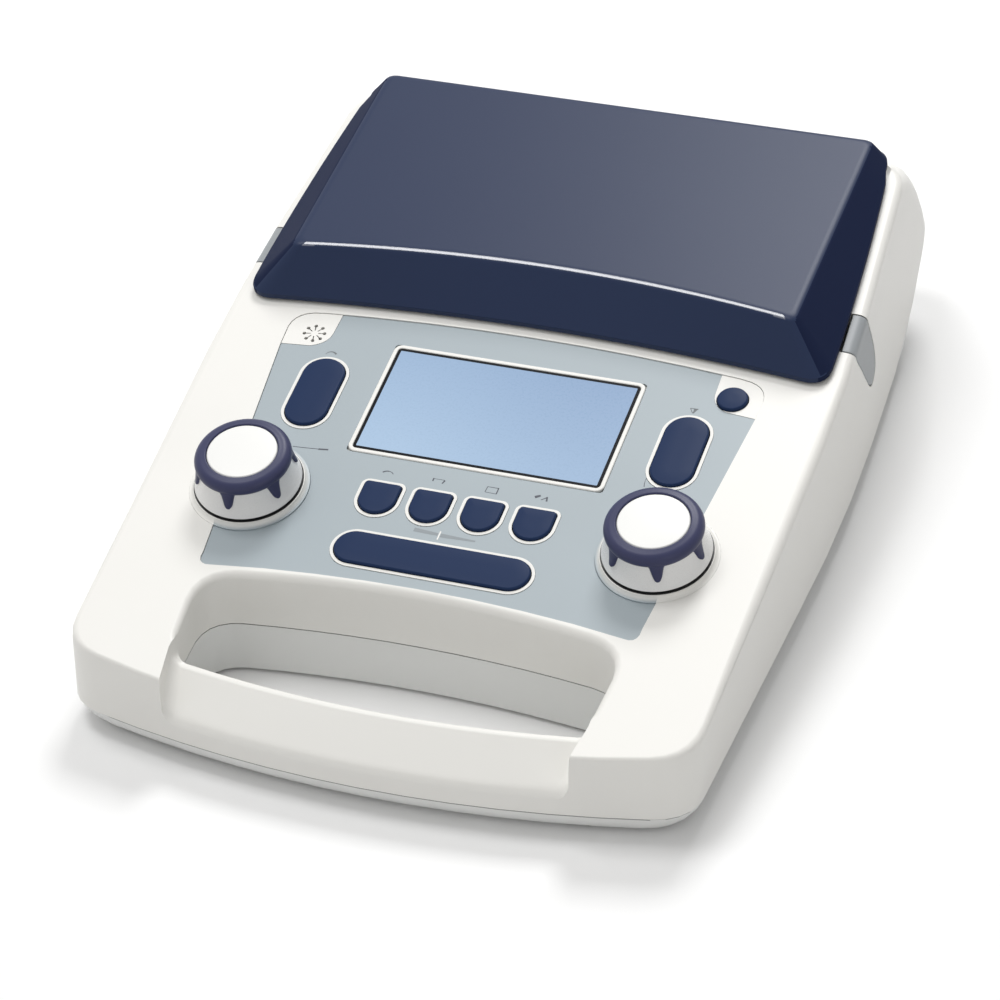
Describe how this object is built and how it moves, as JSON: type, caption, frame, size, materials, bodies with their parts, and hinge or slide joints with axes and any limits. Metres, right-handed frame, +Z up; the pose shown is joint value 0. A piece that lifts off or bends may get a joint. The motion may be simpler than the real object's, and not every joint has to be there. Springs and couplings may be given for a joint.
{
  "type": "audiometer",
  "caption": "Portable screening audiometer: sloped console with carrying handle, display, press keys, two rotary knobs and a lidded headset compartment with side latches",
  "frame": {"origin": "on the table, under the middle of the box that the whole object fills", "axes": "+Z up from the table; +X to the operator's right; +Y from the operator towards the rear, along the console's length"},
  "size_m": [0.248, 0.384, 0.106],
  "materials": {
    "housing_white": "fine satin moulding, warm white",
    "panel_grey": "printed overlay and satin moulding, cool light grey",
    "navy_plastic": "satin moulding, dark blue",
    "latch_grey": "satin moulding, light grey",
    "knob_silver": "silver-white moulding",
    "window_black": "hard-coated window with a printed border",
    "screen_blue": "liquid crystal display",
    "board_green": "solder-masked circuit board",
    "socket_black": "moulded connector body",
    "foot_rubber": "soft black rubber",
    "pin_steel": "turned and plated steel"
  },
  "bodies": {
    "housing": {"top_shell": "housing_white", "bottom_shell": "housing_white", "control_panel": "panel_grey", "corner_inlay_left": "housing_white", "corner_inlay_right": "housing_white", "display_frame": "housing_white", "display_window": "window_black", "lcd_module": "screen_blue", "key_board": "board_green", "tact_switches": "pin_steel", "main_board": "board_green", "knob_collar_left": "housing_white", "knob_collar_right": "housing_white", "encoder_left": "pin_steel", "encoder_right": "pin_steel", "encoder_nuts": "pin_steel", "microphone": "socket_black", "headset_tray": "panel_grey", "hinge_pins": "pin_steel", "latch_pins": "pin_steel", "connector_panel": "panel_grey", "jack_sockets": "socket_black", "socket_nuts": "pin_steel", "power_inlet": "socket_black", "usb_socket": "pin_steel", "rubber_feet": "foot_rubber", "housing_screws": "pin_steel", "board_screws": "pin_steel"},
    "lid": {"lid": "navy_plastic"},
    "latch_left": {"latch_left": "latch_grey"},
    "latch_right": {"latch_right": "latch_grey"},
    "knob_left": {"knob_skirt_left": "knob_silver", "knob_ring_left": "navy_plastic", "knob_disc_left": "housing_white", "encoder_shaft_left": "pin_steel"},
    "knob_right": {"knob_skirt_right": "knob_silver", "knob_ring_right": "navy_plastic", "knob_disc_right": "housing_white", "encoder_shaft_right": "pin_steel"},
    "oval_key_left": {"oval_key_left": "navy_plastic"},
    "oval_key_right": {"oval_key_right": "navy_plastic"},
    "function_key_1": {"function_key_1": "navy_plastic"},
    "function_key_2": {"function_key_2": "navy_plastic"},
    "function_key_3": {"function_key_3": "navy_plastic"},
    "function_key_4": {"function_key_4": "navy_plastic"},
    "bar_key": {"bar_key": "navy_plastic"},
    "power_key": {"power_key": "navy_plastic"}
  },
  "joints": [
    {"name": "lid_hinge", "type": "hinge", "parent": "housing", "child": "lid", "pos_m": [0, 0.12578, 0.09954], "axis": [-1, 0, 0], "range_deg": [0, 95]},
    {"name": "latch_right_rock", "type": "hinge", "parent": "housing", "child": "latch_right", "pos_m": [0.1182, 0.04322, 0.06699], "axis": [0, 0.9816, 0.1908], "range_deg": [0, 7], "stiffness_Nm_per_rad": 0.2},
    {"name": "knob_right_turn", "type": "hinge", "parent": "housing", "child": "knob_right", "pos_m": [0.0801, -0.08903, 0.06369], "axis": [0, -0.1908, 0.9816], "continuous": true},
    {"name": "latch_left_rock", "type": "hinge", "parent": "housing", "child": "latch_left", "pos_m": [-0.1182, 0.04322, 0.06699], "axis": [0, -0.9816, -0.1908], "range_deg": [0, 7], "stiffness_Nm_per_rad": 0.2},
    {"name": "knob_left_turn", "type": "hinge", "parent": "housing", "child": "knob_left", "pos_m": [-0.0801, -0.08903, 0.06369], "axis": [0, -0.1908, 0.9816], "continuous": true},
    {"name": "oval_key_left_press", "type": "slide", "parent": "housing", "child": "oval_key_left", "axis": [0, 0.1908, -0.9816], "range_m": [0, 0.0008], "stiffness_N_per_m": 1500},
    {"name": "oval_key_right_press", "type": "slide", "parent": "housing", "child": "oval_key_right", "axis": [0, 0.1908, -0.9816], "range_m": [0, 0.0008], "stiffness_N_per_m": 1500},
    {"name": "function_key_1_press", "type": "slide", "parent": "housing", "child": "function_key_1", "axis": [0, 0.1908, -0.9816], "range_m": [0, 0.0008], "stiffness_N_per_m": 1500},
    {"name": "function_key_2_press", "type": "slide", "parent": "housing", "child": "function_key_2", "axis": [0, 0.1908, -0.9816], "range_m": [0, 0.0008], "stiffness_N_per_m": 1500},
    {"name": "function_key_3_press", "type": "slide", "parent": "housing", "child": "function_key_3", "axis": [0, 0.1908, -0.9816], "range_m": [0, 0.0008], "stiffness_N_per_m": 1500},
    {"name": "function_key_4_press", "type": "slide", "parent": "housing", "child": "function_key_4", "axis": [0, 0.1908, -0.9816], "range_m": [0, 0.0008], "stiffness_N_per_m": 1500},
    {"name": "bar_key_press", "type": "slide", "parent": "housing", "child": "bar_key", "axis": [0, 0.1908, -0.9816], "range_m": [0, 0.0008], "stiffness_N_per_m": 1500},
    {"name": "power_key_press", "type": "slide", "parent": "housing", "child": "power_key", "axis": [0, 0.1908, -0.9816], "range_m": [0, 0.0008], "stiffness_N_per_m": 1500}
  ]
}
